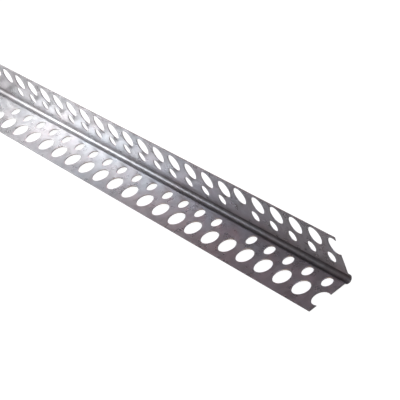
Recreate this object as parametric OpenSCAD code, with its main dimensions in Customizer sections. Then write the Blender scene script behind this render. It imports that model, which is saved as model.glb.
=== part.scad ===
// Drywall corner bead: one strip of galvanised sheet, punched flat and roll formed into a right angle
// with a rounded nose. Sizes are in millimetres.
// It lies as it would on a level floor: on the free edge of one flange and on the nose, with the other
// flange upright. X runs along the stock from the end that is cut through a row of holes.

/* [Stock] */

// Length the bead is sold in
length = 2438; // [1220:1:3050]
// Thickness of the galvanised sheet
metal = 0.5; // [0.35:0.05:0.7]

/* [Flanges] */

// Width of each flange, from where the two outer faces would meet to the free edge
flange_width = 32; // [28:0.5:38]

/* [Nose] */

// Outer radius of the rounded nose
nose_radius = 3.1; // [2.8:0.05:3.4]
// Inside radius of the bend that leads from a flange into the nose
bend_radius = 0.5; // [0.3:0.05:0.8]

/* [Keying holes] */

// Diameter of the large holes that the joint compound keys into
keying_diameter = 12; // [9:0.1:14]
// Distance from the row of large holes to the free edge
keying_from_edge = 9.4; // [8.5:0.1:12]
// Distance between neighbouring large holes
pitch = 18.8; // [16:0.1:24]

/* [Nail holes] */

// Diameter of the small holes for nails or screws
nail_diameter = 7.5; // [5:0.1:8.5]
// Distance from the row of small holes to where the outer faces would meet
nail_from_corner = 10.9; // [10.4:0.1:12.5]
// How far a small hole comes before the large hole that it is punched with
nail_lead = 10.4; // [8:0.1:12]

/* [Punching] */

// Large holes that one stroke of the punch makes in a flange
stroke_holes = 16; // [12:1:24]
// Distance between large holes on either side of the seam between two strokes
seam_pitch = 17.4; // [15:0.1:24]
// Large holes in a flange before the first seam
first_holes = 6; // [2:1:12]
// Distance from the near end to the centre of the hole that the cut runs through
first_hole_at = 2.3; // [0:0.1:3.5]
// How far the upright flange's holes lie behind those of the flange on the floor
flange_lag = 0.6; // [0:0.1:2]
// How far the punched pattern lies off the middle of the strip, toward the upright flange
side_shift = 1.15; // [0:0.05:1.6]
// How far alternate strokes wander to either side of that
side_wander = 0.55; // [0:0.05:0.9]
// Least metal left between the rim of a hole and an end, or else the hole is left out
end_land = 1; // [0.5:0.1:3]

/* [Hidden] */

$fn = 48;

// Distance between the centres of the nose and of a bend, whose arcs touch. The line between them runs
// 4 along the flange for 3 across it, so both centres stay exact decimals and the two arcs truly meet
nose_to_bend = nose_radius + bend_radius;
// How far the nose stands proud of each flange's outer face, as that line gives it
nose_proud = nose_to_bend * 2 / 5;
// Centre of the nose, the same distance in from both outer faces
nose_at = nose_radius - nose_proud;
// Where a flange's flat starts and its bend into the nose ends
bend_at = nose_at + nose_to_bend * 4 / 5;
// Angle that brings the nose and the free edge down to the same floor
reach = norm([nose_at, flange_width - nose_at]);
lean = atan2(flange_width - nose_at, nose_at) - acos(nose_radius / reach);
// Height of the virtual corner over the floor, and how far the section spreads across it
corner_up = flange_width * sin(lean);
left_side = nose_at * (cos(lean) + sin(lean)) - nose_radius;
right_side = flange_width * cos(lean) + metal * sin(lean);
// Length of one stroke's pattern, and of the part of the first that this piece has
stroke_length = (stroke_holes - 1) * pitch + seam_pitch;
first_seam_at = first_hole_at + (first_holes - 1) * pitch + seam_pitch;
strokes = 1 + ceil((length - first_seam_at) / stroke_length);

// Start of a stroke's pattern, where the first stroke is the end of a longer one
function stroke_at(s) = first_seam_at + (s - 1) * stroke_length;

// Whether a hole is either clear of both ends or plainly cut by one
function keeps_land(x, r) =
    let (inside = min(x, length - x))
    inside > r + end_land || (abs(inside) < r - end_land && inside >= 0);

// Sideways place of a stroke's pattern
function drift(s) = side_shift + (s % 2 == 0 ? side_wander : -side_wander);

// The web that a bend is cut from. It overlaps the nose and the flange, and its slope runs between the
// centres of the nose and of the bend
module bend_web(depth) {
    difference() {
        polygon([
            [nose_at, nose_at],
            [bend_at, -bend_radius],
            [bend_at, nose_at]
        ]);
        translate([bend_at, -bend_radius])
            circle(bend_radius + depth);
    }
}

// All that lies on the wallboard's side of a face of the sheet, at a depth below the outer face
module board_side(depth) {
    translate([depth, depth])
        square(flange_width);
    translate([nose_at, nose_at])
        circle(nose_radius - depth);
    bend_web(depth);
    mirror([1, -1])
        bend_web(depth);
}

// The sheet, between its outer and its inner face
module section() {
    difference() {
        board_side(0);
        board_side(metal);
    }
}

// One hole through a flange that lies flat, at a distance along it and from the corner
module hole(x, y, diameter) {
    translate([x, y, -metal])
        cylinder(h = 3 * metal, d = diameter);
}

// The holes of every stroke in one flange, moved toward its free edge by the side's share of the drift
module flange_holes(lag, side) {
    for (s = [0 : strokes - 1]) {
        for (j = [0 : stroke_holes - 1]) {
            x = stroke_at(s) + j * pitch + lag;
            y = side * drift(s);
            if (keeps_land(x, keying_diameter / 2))
                hole(x, flange_width - keying_from_edge + y, keying_diameter);
            // No small hole falls in a seam
            if (j > 0 && keeps_land(x - nail_lead, nail_diameter / 2))
                hole(x - nail_lead, nail_from_corner + y, nail_diameter);
        }
    }
}

module corner_bead() {
    color([0.72, 0.74, 0.76])
        translate([-length / 2, -(left_side + right_side) / 2, corner_up])
            rotate([-lean, 0, 0])
                difference() {
                    rotate([90, 0, 90])
                        linear_extrude(length)
                            section();
                    flange_holes(0, -1);
                    multmatrix([[1, 0, 0, 0], [0, 0, 1, 0], [0, 1, 0, 0]])
                        flange_holes(flange_lag, 1);
                }
}

corner_bead();
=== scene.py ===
import math
import bpy
from mathutils import Matrix, Vector


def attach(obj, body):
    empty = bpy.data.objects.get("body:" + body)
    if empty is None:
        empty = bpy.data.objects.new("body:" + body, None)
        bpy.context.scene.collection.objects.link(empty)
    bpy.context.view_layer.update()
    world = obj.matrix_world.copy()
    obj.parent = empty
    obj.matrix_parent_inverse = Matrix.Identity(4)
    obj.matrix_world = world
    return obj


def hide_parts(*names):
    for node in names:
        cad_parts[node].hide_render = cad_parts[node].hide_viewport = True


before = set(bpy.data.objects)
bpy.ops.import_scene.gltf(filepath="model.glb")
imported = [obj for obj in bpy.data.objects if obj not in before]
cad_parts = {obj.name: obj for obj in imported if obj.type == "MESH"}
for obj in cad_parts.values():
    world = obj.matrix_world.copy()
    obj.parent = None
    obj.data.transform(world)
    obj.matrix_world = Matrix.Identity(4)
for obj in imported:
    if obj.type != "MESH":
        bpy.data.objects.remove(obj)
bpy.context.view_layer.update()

mm = 0.001
weld = 0.01 * mm  # points nearer than this become one
slack = 1e-6  # rounding room in a test for nought


class Wire:  # one value inside a node tree, with plain arithmetic
    def __init__(self, tree, socket):
        self.tree, self.socket = tree, socket

    def math(self, how, other=None, third=None):
        node = self.tree.nodes.new("ShaderNodeMath")
        node.operation = how
        for slot, value in zip(node.inputs, (self, other, third)):
            if value is not None:
                feed(self.tree, slot, value)
        return Wire(self.tree, node.outputs[0])

    def __add__(self, other):
        return self.math("ADD", other)

    def __radd__(self, other):
        return self.math("ADD", other)

    def __sub__(self, other):
        return self.math("SUBTRACT", other)

    def __rsub__(self, other):
        return self.math("MULTIPLY_ADD", -1.0, other)

    def __mul__(self, other):
        return self.math("MULTIPLY", other)

    def __rmul__(self, other):
        return self.math("MULTIPLY", other)

    def __truediv__(self, other):
        return self.math("DIVIDE", other)

    def above(self, other):
        return self.math("GREATER_THAN", other)

    def below(self, other):
        return self.math("LESS_THAN", other)


def feed(tree, slot, value):  # a wire is linked, a plain value is set
    if isinstance(value, Wire):
        tree.links.new(value.socket, slot)
    else:
        slot.default_value = value


def addNode(tree, kind, inputs=None, out=0, **settings):
    node = tree.nodes.new(kind)
    for name, value in settings.items():
        setattr(node, name, value)
    for name, value in (inputs or {}).items():
        feed(tree, node.inputs[name], value)
    return Wire(tree, node.outputs[out])


def pickEither(test, yes, no):  # yes where test is 1, no where it is 0
    return test * yes + (1.0 - test) * no


def joinAll(tree, parts):
    node = tree.nodes.new("GeometryNodeJoinGeometry")
    for part in parts:
        tree.links.new(part.socket, node.inputs[0])
    return Wire(tree, node.outputs[0])


def splitVector(vector):  # its three numbers
    node = vector.tree.nodes.new("ShaderNodeSeparateXYZ")
    feed(vector.tree, node.inputs[0], vector)
    return [Wire(vector.tree, socket) for socket in node.outputs]


def pointPlace(tree):  # where each point is
    return splitVector(addNode(tree, "GeometryNodeInputPosition"))


def leaveMark(geometry, name, value, kind="FLOAT", domain="POINT"):  # a value kept on the mesh
    return addNode(geometry.tree, "GeometryNodeStoreNamedAttribute",
                   {"Geometry": geometry, "Name": name, "Value": value}, data_type=kind, domain=domain)


def findMark(tree, name):
    return addNode(tree, "GeometryNodeInputNamedAttribute", {"Name": name}, data_type="FLOAT")


# the bead, in millimetres: the same sizes as the solid's
beadSizes = {
    "length": 2438.0,
    "metal": 0.5,
    "flangeWidth": 32.0,  # virtual corner to free edge
    "noseRadius": 3.1,
    "bendRadius": 0.5,
    "keyingDiameter": 12.0,
    "keyingFromEdge": 9.4,
    "pitch": 18.8,
    "nailDiameter": 7.5,
    "nailFromCorner": 10.9,
    "nailLead": 10.4,
    "seamPitch": 17.4,
    "firstHoleAt": 2.3,
    "flangeLag": 0.6,
    "sideShift": 1.15,
    "sideWander": 0.55,
    "endLand": 1.0,
    "flatMargin": 0.2,  # flat strip beside each bend, so that shading stays crisp
    "rimRoll": 0.35,  # the punch rolls the inner rim of each hole over this width
    "rimDrop": 0.1,
}
beadCounts = {
    "strokeHoles": 16,
    "firstHoles": 6,
    "keyingSides": 36,
    "nailSides": 28,
    "stepsAlong": 260,
    "stepsRound": 36,  # round the nose and both bends
}
slopeRun, slopeRise = 0.8, 0.6  # from the nose's centre to a bend's, 4 along the flange for 3 across
sharpTurn = math.radians(14.5)  # an edge that turns more than this is not shaded smooth


def rolledRim(tree, size, sides, radius):  # flat collar that fills a hole's outline down to its rim
    collar = addNode(tree, "GeometryNodeMeshGrid", {
        "Size X": 2.0 * math.pi, "Size Y": 1.0, "Vertices X": sides + 1.0, "Vertices Y": 2})
    x, y, _ = pointPlace(tree)
    angle = x * -1.0
    collar = leaveMark(collar, "rim", 1.0 - (y + 0.5))
    out = radius + size["rimRoll"] * (1.0 - findMark(tree, "rim"))
    place = addNode(tree, "ShaderNodeCombineXYZ", {
        "X": out * angle.math("COSINE"), "Y": out * angle.math("SINE")})
    return addNode(tree, "GeometryNodeSetPosition", {"Geometry": collar, "Position": place})


def punchedSheet(tree, size, count, derived, side):  # one flange as a flat sheet with its holes
    index = addNode(tree, "GeometryNodeInputIndex")
    stroke = (index / count["strokeHoles"]).math("FLOOR")
    hole = index - stroke * count["strokeHoles"]
    lag = size["flangeLag"] if side < 0 else 0.0
    along = derived["firstSeam"] + (stroke - 1.0) * derived["strokeLength"] + hole * size["pitch"] + lag
    even = 1.0 - 2.0 * (stroke.math("MODULO", 2.0))
    drift = (size["sideShift"] + size["sideWander"] * even) * (-side)
    total = derived["strokes"] * count["strokeHoles"]
    rings, collars = [], []
    for name, x, across, isThere in (
        ("keying", along, size["flangeWidth"] - size["keyingFromEdge"] + drift, None),
        ("nail", along - size["nailLead"], size["nailFromCorner"] + drift, hole.above(0.5)),  # none in a seam
    ):
        sides, radius = count[name + "Sides"], size[name + "Diameter"] * 0.5
        inside = x.math("MINIMUM", size["length"] - x)
        clear = inside.above(radius + size["endLand"])
        cutThrough = inside.below(radius - size["endLand"]) * inside.above(-slack)
        keep = clear.math("MAXIMUM", cutThrough)
        if isThere is not None:
            keep = keep * isThere
        place = addNode(tree, "ShaderNodeCombineXYZ", {"X": x, "Y": across * side})
        spots = addNode(tree, "GeometryNodePoints", {"Count": total, "Position": place})
        ring = addNode(tree, "GeometryNodeCurvePrimitiveCircle",
                       {"Resolution": sides, "Radius": radius}, mode="RADIUS")
        widen = 1.0 + clear * size["rimRoll"] / radius  # a hole cut by the end keeps its plain edge
        rings.append(addNode(tree, "GeometryNodeInstanceOnPoints", {
            "Points": spots, "Selection": keep.above(0.5), "Instance": ring, "Scale": widen}))
        collars.append(addNode(tree, "GeometryNodeInstanceOnPoints", {
            "Points": spots, "Selection": (keep * clear).above(0.5),
            "Instance": rolledRim(tree, size, sides, radius)}))
    holes = addNode(tree, "GeometryNodeRealizeInstances", {"Geometry": joinAll(tree, rings)})
    low = derived["flatFrom"]
    blank = addNode(tree, "GeometryNodeMeshGrid", {
        "Size X": size["length"], "Size Y": size["flangeWidth"] - low,
        "Vertices X": count["stepsAlong"] + 1.0, "Vertices Y": 2})
    shift = addNode(tree, "ShaderNodeCombineXYZ", {
        "X": size["length"] * 0.5, "Y": (size["flangeWidth"] + low) * (0.5 * side)})
    blank = addNode(tree, "GeometryNodeSetPosition", {"Geometry": blank, "Offset": shift})
    rim = addNode(tree, "GeometryNodeInputMeshEdgeNeighbors").below(1.5)  # edges with one face
    outline = addNode(tree, "GeometryNodeMeshToCurve", {"Mesh": blank, "Selection": rim})
    sheet = addNode(tree, "GeometryNodeFillCurve",
                    {"Curve": joinAll(tree, [outline, holes])}, mode="TRIANGLES")
    x = pointPlace(tree)[0]
    waste = x.below(0.0).math("MAXIMUM", x.above(size["length"]))  # the part of a cut hole past the end
    sheet = addNode(tree, "GeometryNodeDeleteGeometry",
                    {"Geometry": sheet, "Selection": waste.above(0.5)}, domain="FACE")
    collars = addNode(tree, "GeometryNodeRealizeInstances", {"Geometry": joinAll(tree, collars)})
    return joinAll(tree, [sheet, collars])


def noseBand(tree, size, count, derived):  # the flat band that becomes the nose and both bends
    steps = count["stepsRound"]
    band = addNode(tree, "GeometryNodeMeshGrid", {
        "Size X": size["length"], "Size Y": 2.0,
        "Vertices X": count["stepsAlong"] + 1.0, "Vertices Y": steps + 3.0})
    x, t, _ = pointPlace(tree)
    share = steps / (steps + 2.0)  # the last step on each side is flat
    reach = t.math("ABSOLUTE")
    curved = (reach / share).math("MINIMUM", 1.0) * derived["bendAt"]
    flat = ((reach - share) / (1.0 - share)).math("MAXIMUM", 0.0) * size["flatMargin"]
    across = (curved + flat) * t.math("SIGN")
    place = addNode(tree, "ShaderNodeCombineXYZ", {"X": x + size["length"] * 0.5, "Y": across})
    return addNode(tree, "GeometryNodeSetPosition", {"Geometry": band, "Position": place})


def rollForm(tree, sheet, size, derived):  # bends the thick flat blank into the section
    x, across, depth = pointPlace(tree)
    reach = across.math("ABSOLUTE")
    turn = (reach / derived["bendAt"]).math("MINIMUM", 1.0) * (derived["noseHalf"] + derived["bendTurn"])
    noseAngle = turn - 0.75 * math.pi
    noseOut = size["noseRadius"] - depth
    bendAngle = derived["bendStart"] - (turn - derived["noseHalf"])
    bendOut = size["bendRadius"] + depth
    isBend = turn.above(derived["noseHalf"])
    isFlat = reach.above(derived["bendAt"])
    runs = pickEither(isBend, derived["bendAt"] + bendOut * bendAngle.math("COSINE"),
                      derived["noseAt"] + noseOut * noseAngle.math("COSINE"))
    rises = pickEither(isBend, bendOut * bendAngle.math("SINE") - size["bendRadius"],
                       derived["noseAt"] + noseOut * noseAngle.math("SINE"))
    runs = pickEither(isFlat, reach, runs)
    rises = pickEither(isFlat, depth, rises)
    onFloor = across.above(0.0)
    y = pickEither(onFloor, runs, rises)
    z = pickEither(onFloor, rises, runs)
    cosLean, sinLean = derived["lean"].math("COSINE"), derived["lean"].math("SINE")
    cornerUp = size["flangeWidth"] * sinLean
    leftSide = derived["noseAt"] * (cosLean + sinLean) - size["noseRadius"]
    rightSide = size["flangeWidth"] * cosLean + size["metal"] * sinLean
    place = addNode(tree, "ShaderNodeCombineXYZ", {
        "X": x - size["length"] * 0.5,
        "Y": y * cosLean + z * sinLean - (leftSide + rightSide) * 0.5,
        "Z": z * cosLean - y * sinLean + cornerUp})
    strip = addNode(tree, "ShaderNodeCombineXYZ", {"X": x, "Y": across, "Z": depth})
    sheet = leaveMark(sheet, "strip", strip, kind="FLOAT_VECTOR")
    return addNode(tree, "GeometryNodeSetPosition", {"Geometry": sheet, "Position": place})


def beadTree():
    tree = bpy.data.node_groups.new("cornerBeadStrip", "GeometryNodeTree")
    tree.interface.new_socket("Geometry", in_out="INPUT", socket_type="NodeSocketGeometry")
    tree.interface.new_socket("Geometry", in_out="OUTPUT", socket_type="NodeSocketGeometry")
    sockets = {}
    for names, kind in ((beadSizes, "Float"), (beadCounts, "Int"), (["finish"], "Material")):
        for name in names:
            sockets[name] = tree.interface.new_socket(name, in_out="INPUT", socket_type="NodeSocket" + kind)
    entry = tree.nodes.new("NodeGroupInput")
    size = {name: Wire(tree, entry.outputs[name]) for name in beadSizes}
    count = {name: Wire(tree, entry.outputs[name]) for name in beadCounts}

    noseToBend = size["noseRadius"] + size["bendRadius"]  # between centres
    noseAt = size["noseRadius"] - noseToBend * (1.0 - slopeRise)
    drop = noseToBend * slopeRise
    bendRun = noseToBend * slopeRun
    flangeRun = size["flangeWidth"] - noseAt
    span = (noseAt * noseAt + flangeRun * flangeRun).math("SQRT")
    bendStart = drop.math("ARCTAN2", bendRun * -1.0)
    firstSeam = size["firstHoleAt"] + (count["firstHoles"] - 1.0) * size["pitch"] + size["seamPitch"]
    strokeLength = (count["strokeHoles"] - 1.0) * size["pitch"] + size["seamPitch"]
    derived = {
        "noseAt": noseAt,
        "bendAt": noseAt + bendRun,
        "flatFrom": noseAt + bendRun + size["flatMargin"],
        "bendStart": bendStart,
        "bendTurn": bendStart - 0.5 * math.pi,
        "noseHalf": bendStart - 0.25 * math.pi,
        "lean": flangeRun.math("ARCTAN2", noseAt) - (size["noseRadius"] / span).math("ARCCOSINE"),
        "firstSeam": firstSeam,
        "strokeLength": strokeLength,
        "strokes": ((size["length"] - firstSeam) / strokeLength).math("CEIL") + 1.0,
    }
    sheet = joinAll(tree, [
        punchedSheet(tree, size, count, derived, 1.0),
        noseBand(tree, size, count, derived),
        punchedSheet(tree, size, count, derived, -1.0)])
    sheet = addNode(tree, "GeometryNodeMergeByDistance", {"Geometry": sheet, "Distance": weld})
    raised = addNode(tree, "GeometryNodeExtrudeMesh", {
        "Mesh": sheet, "Offset": (0.0, 0.0, 1.0), "Offset Scale": size["metal"], "Individual": False})
    walls = Wire(tree, raised.socket.node.outputs["Side"])
    raised = leaveMark(raised, "cutEdge", walls, domain="FACE")
    isInner = pointPlace(tree)[2].above(size["metal"] * 0.5)
    rolled = addNode(tree, "ShaderNodeCombineXYZ", {
        "Z": findMark(tree, "rim") * isInner * size["rimDrop"] * -1.0})
    raised = addNode(tree, "GeometryNodeSetPosition", {"Geometry": raised, "Offset": rolled})
    under = addNode(tree, "GeometryNodeFlipFaces", {"Mesh": sheet})
    blank = addNode(tree, "GeometryNodeMergeByDistance",
                    {"Geometry": joinAll(tree, [raised, under]), "Distance": weld})
    formed = rollForm(tree, blank, size, derived)
    formed = addNode(tree, "GeometryNodeSetShadeSmooth",
                     {"Geometry": formed, "Shade Smooth": True}, domain="FACE")
    sharp = addNode(tree, "GeometryNodeInputMeshEdgeAngle").above(sharpTurn)
    formed = addNode(tree, "GeometryNodeSetShadeSmooth", {
        "Geometry": formed, "Selection": sharp.above(0.5), "Shade Smooth": False}, domain="EDGE")
    formed = addNode(tree, "GeometryNodeRealizeInstances", {"Geometry": formed})
    formed = addNode(tree, "GeometryNodeSetMaterial",
                     {"Geometry": formed, "Material": Wire(tree, entry.outputs["finish"])})
    leave = tree.nodes.new("NodeGroupOutput")
    tree.links.new(formed.socket, leave.inputs[0])
    return tree, sockets


# the zinc coat, sizes in millimetres; a range runs from none of a thing to all of it
zincLook = {
    "metallic": 0.8,
    "pale": (0.475, 0.475, 0.48, 1.0),
    "dull": (0.345, 0.342, 0.345, 1.0),
    "cool": (0.385, 0.41, 0.44, 1.0),
    "warm": (0.44, 0.37, 0.385, 1.0),
    "burnished": (0.52, 0.52, 0.52, 1.0),
    "bareSteel": (0.21, 0.20, 0.195, 1.0),
    "spangleAcross": 4.0,
    "strayScale": 150.0,  # ripples per metre in the spangles' outlines
    "strayBy": 0.8,
    "cloudAcross": 12.0,
    "patchAcross": 16.0,
    "lineAcross": 1.0,  # faint lines along the stock
    "lineStretch": (0.008, 1.0, 1.0),
    "waveAcross": 9.0,
    "waveHeight": 0.05,
    "chatterAlong": 2.5,  # faint marks across the stock
    "chatterStretch": (1.0, 0.06, 0.06),
    "chatterHeight": 0.004,
    "grainAcross": 0.5,
    "grainHeight": 0.0006,
    "toneShares": (0.3, 0.5, 0.2),  # of spangle, cloud and lines
    "toneRange": (0.35, 0.65),
    "hueRange": (0.38, 0.62),
    "tintRange": (0.3, 0.9),
    "tintShare": 0.8,
    "edgeRub": 0.7,  # width of the rubbed line along a free edge
    "rubRange": (0.35, 0.6),
    "creaseFloor": 2.0,  # dark lines of painted shade inside the nose, by their distance from its middle
    "creaseUpright": -1.0,
    "creaseAcross": 1.1,
    "creaseShare": 0.66,
    "shadeTone": (0.06, 0.058, 0.06, 1.0),
    "shadeWave": 640.0,  # the painted shade comes and goes along the stock with this period
    "shadeMean": 0.7,
    "shadeSwing": 0.6,
    "shadeLeast": 0.1,
    "noseShade": 0.4,  # how much painted shade lies over the whole inside of the nose
    "noseAcross": 2.2,
    "noseRough": 0.42,
    "roughShares": (0.35, 0.35, 0.3),  # of spangle, cloud and lines
    "roughLow": 0.26,
    "roughHigh": 0.30,
    "bareRough": 0.45,
}


def blendColours(tree, share, low, high):
    node = tree.nodes.new("ShaderNodeMix")
    node.data_type = "RGBA"
    slots = [slot for slot in node.inputs if slot.type == "RGBA"]
    feed(tree, node.inputs["Factor"], share)
    feed(tree, slots[0], low)
    feed(tree, slots[1], high)
    return Wire(tree, [slot for slot in node.outputs if slot.type == "RGBA"][0])


def between(value, low, high):  # 0 at low, 1 at high, and no further
    return addNode(value.tree, "ShaderNodeMapRange", {"Value": value, "From Min": low, "From Max": high})


def surfaceMark(tree, name, out="Fac"):  # a value that the node tree left on the mesh
    node = tree.nodes.new("ShaderNodeAttribute")
    node.attribute_name = name
    return Wire(tree, node.outputs[out])


def zincCoat():
    look = zincLook
    material = bpy.data.materials.new("zincCoat")
    material.use_nodes = True
    tree = material.node_tree
    shader = tree.nodes["Principled BSDF"]
    shader.inputs["Metallic"].default_value = look["metallic"]
    spot = Wire(tree, tree.nodes.new("ShaderNodeTexCoord").outputs["Object"])
    strip = surfaceMark(tree, "strip", "Vector")
    cutEdge = surfaceMark(tree, "cutEdge")
    rim = surfaceMark(tree, "rim")

    def noise(across, detail, stretch=None, place=spot, seed=0.0):  # mottle of about this size
        scale = 0.7 / (across * mm)  # at scale 1 its blotches are about 0.7 across
        if stretch:
            place = addNode(tree, "ShaderNodeMapping", {"Vector": place, "Scale": stretch})
        return addNode(tree, "ShaderNodeTexNoise",
                       {"Vector": place, "W": seed, "Scale": scale, "Detail": detail}, noise_dimensions="4D")

    warp = addNode(tree, "ShaderNodeTexNoise",
                   {"Vector": spot, "Scale": look["strayScale"], "Detail": 2.0}, out="Color")
    nudge = addNode(tree, "ShaderNodeVectorMath",
                    {0: warp, 1: [look["strayBy"] * mm] * 3}, operation="MULTIPLY")
    bent = addNode(tree, "ShaderNodeVectorMath", {0: spot, 1: nudge}, operation="ADD")
    spangle = addNode(tree, "ShaderNodeTexVoronoi",
                      {"Vector": bent, "Scale": 1.0 / (look["spangleAcross"] * mm)}, out="Color")
    flake = addNode(tree, "ShaderNodeSeparateColor", {"Color": spangle})
    cloud = noise(look["cloudAcross"], 4.0)
    patch = noise(look["patchAcross"], 2.0, seed=3.0)
    rolled = noise(look["lineAcross"], 3.0, look["lineStretch"], strip)
    chatter = noise(look["chatterAlong"], 2.0, look["chatterStretch"], strip, 7.0)
    wave = noise(look["waveAcross"], 1.0, seed=5.0)
    grain = noise(look["grainAcross"], 2.0, seed=9.0)

    def mottle(shares):
        return flake * shares[0] + cloud * shares[1] + rolled * shares[2]

    tone = between(mottle(look["toneShares"]), *look["toneRange"])
    colour = blendColours(tree, tone, look["dull"], look["pale"])
    tint = blendColours(tree, between(patch, *look["hueRange"]), look["cool"], look["warm"])
    colour = blendColours(tree, between(cloud, *look["tintRange"]) * look["tintShare"], colour, tint)

    along, across, depth = splitVector(strip)
    fromNose = across.math("ABSOLUTE")
    innerFace = depth.above(0.5 * beadSizes["metal"] * mm)
    # painted shade: dark lines in the nose's two inner corners, growing and fading along the stock
    alongWave = (along * (2.0 * math.pi / (look["shadeWave"] * mm))).math("COSINE")
    shadeFade = (alongWave * look["shadeSwing"] + look["shadeMean"]).math("MINIMUM", 1.0).math("MAXIMUM", look["shadeLeast"])
    shadeFade = shadeFade * innerFace
    creaseShades = [between((across - look[name] * mm).math("ABSOLUTE"), look["creaseAcross"] * mm, 0.0)
               for name in ("creaseFloor", "creaseUpright")]
    creaseShade = creaseShades[0].math("MAXIMUM", creaseShades[1])
    inNose = between(fromNose, look["noseAcross"] * mm, 0.5 * look["noseAcross"] * mm) * innerFace
    colour = blendColours(tree, creaseShade * shadeFade * look["creaseShare"], colour, look["shadeTone"])
    # painted shade over the whole inside of the nose
    colour = blendColours(tree, inNose * shadeFade * look["noseShade"], colour, look["shadeTone"])

    edge = between(beadSizes["flangeWidth"] * mm - fromNose, look["edgeRub"] * mm, 0.0)
    rub = edge.math("MAXIMUM", rim) * between(cloud, *look["rubRange"])
    colour = blendColours(tree, rub, colour, look["burnished"])
    colour = blendColours(tree, cutEdge, colour, look["bareSteel"])
    feed(tree, shader.inputs["Base Color"], colour)

    rough = look["roughLow"] + mottle(look["roughShares"]) * (look["roughHigh"] - look["roughLow"])
    rough = pickEither(inNose, look["noseRough"], rough)
    feed(tree, shader.inputs["Roughness"], pickEither(cutEdge, look["bareRough"], rough))
    bump = tree.nodes.new("ShaderNodeBump")
    bump.inputs["Strength"].default_value = 1.0
    bump.inputs["Distance"].default_value = mm
    height = wave * look["waveHeight"] + chatter * look["chatterHeight"] + grain * look["grainHeight"]
    feed(tree, bump.inputs["Height"], height)
    tree.links.new(bump.outputs["Normal"], shader.inputs["Normal"])
    return material


def makeBead():
    tree, sockets = beadTree()
    carrier = bpy.data.objects.new("beadCarrier", bpy.data.meshes.new("beadCarrier"))
    bpy.context.scene.collection.objects.link(carrier)
    modifier = carrier.modifiers.new("strip", "NODES")
    modifier.node_group = tree
    for name, value in beadSizes.items():
        modifier[sockets[name].identifier] = value * mm
    for name, value in beadCounts.items():
        modifier[sockets[name].identifier] = value
    modifier[sockets["finish"].identifier] = zincCoat()
    graph = bpy.context.evaluated_depsgraph_get()
    mesh = bpy.data.meshes.new_from_object(carrier.evaluated_get(graph))
    bpy.data.objects.remove(carrier)
    bead = bpy.data.objects.new("cornerBead", mesh)
    bpy.context.scene.collection.objects.link(bead)
    print("bead:", len(mesh.vertices), "points", len(mesh.polygons), "faces")
    return bead


bead = makeBead()
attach(bead, "root")
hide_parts("corner_bead")

# the studio, in metres
studio = {
    "floorSide": 80.0,
    "floorRough": 0.9,
    "floorTone": (0.1, 0.1, 0.1, 1.0),
    "floorGlow": 0.96,
    "floorDrop": 0.0001,  # how far it lies below the bead
    "cardTone": (0.3, 0.3, 0.3, 1.0),
    "cardGlow": 2.2,
    "cardDrop": 0.0002,
    "glowTone": (1.0, 1.0, 1.0, 1.0),
    "worldTone": (0.0, 0.0, 0.0, 1.0),
    "lampsAim": (-1.06, 0.0, 0.01),  # the middle of what the photograph shows
    "lampWidth": 0.3,  # as a share of its distance
    "lampTone": (1.0, 1.0, 1.0),
}
# soft round lamps: bearing from +X toward +Y and height in degrees, distance in metres, power in watts
lamps = {
    "nearKey": {"bearing": 15.0, "height": 25.0, "away": 0.3, "power": 0.082, "tone": (0.86, 0.92, 1.0)},
    "lowKey": {"bearing": 7.5, "height": 15.0, "away": 0.3, "power": 0.092},
    "midKey": {"bearing": 15.0, "height": 20.0, "away": 0.4, "power": 0.108, "tone": (0.9, 0.96, 1.0)},
    "farKey": {"bearing": 7.5, "height": 10.0, "away": 0.4, "power": 0.112},
    "highKey": {"bearing": 22.5, "height": 32.0, "away": 0.3, "power": 0.0146, "tone": (0.6, 0.62, 1.0)},
    "edgeNear": {"bearing": -15.0, "height": 20.0, "away": 0.4, "power": 0.0257, "tone": (0.75, 0.89, 1.0)},
    "edgeLow": {"bearing": -15.0, "height": 8.0, "away": 0.4, "power": 0.215},
    "edgeHigh": {"bearing": -15.0, "height": 32.0, "away": 0.4, "power": 0.0088, "tone": (1.0, 0.72, 0.67)},
    "edgeFar": {"bearing": -30.0, "height": 20.0, "away": 0.8, "power": 0.6, "tone": (1.0, 0.45, 0.48)},
    "sideSoft": {"bearing": 120.0, "height": 12.0, "away": 2.5, "power": 31.6, "tone": (1.0, 0.82, 0.86)},
    "topSoft": {"bearing": 0.0, "height": 89.0, "away": 2.5, "power": 15.7, "tone": (0.86, 0.75, 1.0)},
    "behindSoft": {"bearing": -150.0, "height": 60.0, "away": 2.5, "power": 21.0, "tone": (0.78, 0.79, 1.0)},
    "backSoft": {"bearing": -90.0, "height": 35.0, "away": 2.5, "power": 25.5},
    "farSoft": {"bearing": 0.0, "height": 60.0, "away": 2.5, "power": 2.3, "tone": (1.0, 0.7, 0.4)},
}


def floorSheet(name, tone, glow, drop):
    half = studio["floorSide"] / 2
    corners = [(-half, -half, -drop), (half, -half, -drop), (half, half, -drop), (-half, half, -drop)]
    mesh = bpy.data.meshes.new(name)
    mesh.from_pydata(corners, [], [(0, 1, 2, 3)])
    sheet = bpy.data.objects.new(name, mesh)
    bpy.context.scene.collection.objects.link(sheet)
    material = bpy.data.materials.new(name)
    material.use_nodes = True
    shader = material.node_tree.nodes["Principled BSDF"]
    shader.inputs["Base Color"].default_value = tone
    shader.inputs["Roughness"].default_value = studio["floorRough"]
    shader.inputs["Emission Color"].default_value = studio["glowTone"]
    shader.inputs["Emission Strength"].default_value = glow
    mesh.materials.append(material)
    sheet.visible_glossy = False  # the photo's metal mirrors no white floor
    return sheet


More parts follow.
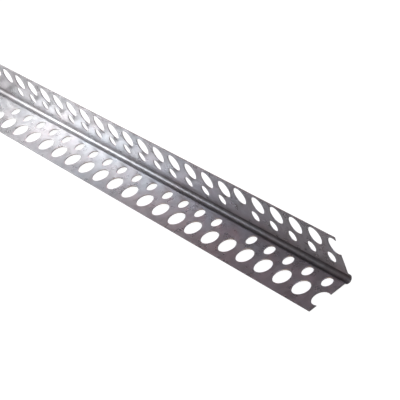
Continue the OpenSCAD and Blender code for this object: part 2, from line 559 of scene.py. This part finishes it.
def paleFloor():  # the floor that shows, and a card just under it that only throws light back up
    floor = floorSheet("floor", studio["floorTone"], studio["floorGlow"], studio["floorDrop"])
    floor.visible_diffuse = floor.visible_shadow = False
    card = floorSheet("bounceCard", studio["cardTone"], studio["cardGlow"], studio["cardDrop"])
    card.visible_camera = False


def softLamp(name, row):
    light = bpy.data.lights.new(name, "AREA")
    light.shape, light.size, light.energy = "DISK", studio["lampWidth"] * row["away"], row["power"]
    light.color = row.get("tone", studio["lampTone"])
    lamp = bpy.data.objects.new(name, light)
    bpy.context.scene.collection.objects.link(lamp)
    bearing, height = math.radians(row["bearing"]), math.radians(row["height"])
    level = math.cos(height)
    toward = Vector((math.cos(bearing) * level, math.sin(bearing) * level, math.sin(height)))
    lamp.rotation_mode = "QUATERNION"
    lamp.rotation_quaternion = toward.to_track_quat("Z", "Y")
    lamp.location = Vector(studio["lampsAim"]) + toward * row["away"]
    lamp.visible_camera = False


def studioLight():
    world = bpy.data.worlds.new("studio")
    bpy.context.scene.world = world
    world.use_nodes = True
    world.node_tree.nodes["Background"].inputs["Color"].default_value = studio["worldTone"]
    for name, row in lamps.items():
        softLamp(name, row)
    print("studio:", len(lamps), "lamps")


paleFloor()
studioLight()

# the photograph's view: eye and lens in millimetres, clip in metres
camera = {
    "eye": (-1920.19, 386.22, 583.21),
    "right": (-0.55998, -0.77704, -0.28746),
    "down": (-0.30404, 0.51549, -0.80114),
    "forward": (0.7707, -0.36123, -0.52492),
    "lens": 155.1,
    "sensor": 36.0,
    "clip": (0.01, 200.0),
}


def photoCamera():
    data = bpy.data.cameras.new("view")
    data.lens, data.sensor_width = camera["lens"], camera["sensor"]
    data.clip_start, data.clip_end = camera["clip"]
    view = bpy.data.objects.new("view", data)
    bpy.context.scene.collection.objects.link(view)
    right, up, back = Vector(camera["right"]), -Vector(camera["down"]), -Vector(camera["forward"])
    turn = Matrix((right, up, back)).transposed().to_4x4()
    view.matrix_world = Matrix.Translation(Vector(camera["eye"]) * mm) @ turn
    bpy.context.scene.camera = view
    print("view: lens", camera["lens"])


photoCamera()
bpy.context.scene.view_settings.view_transform = "Standard"
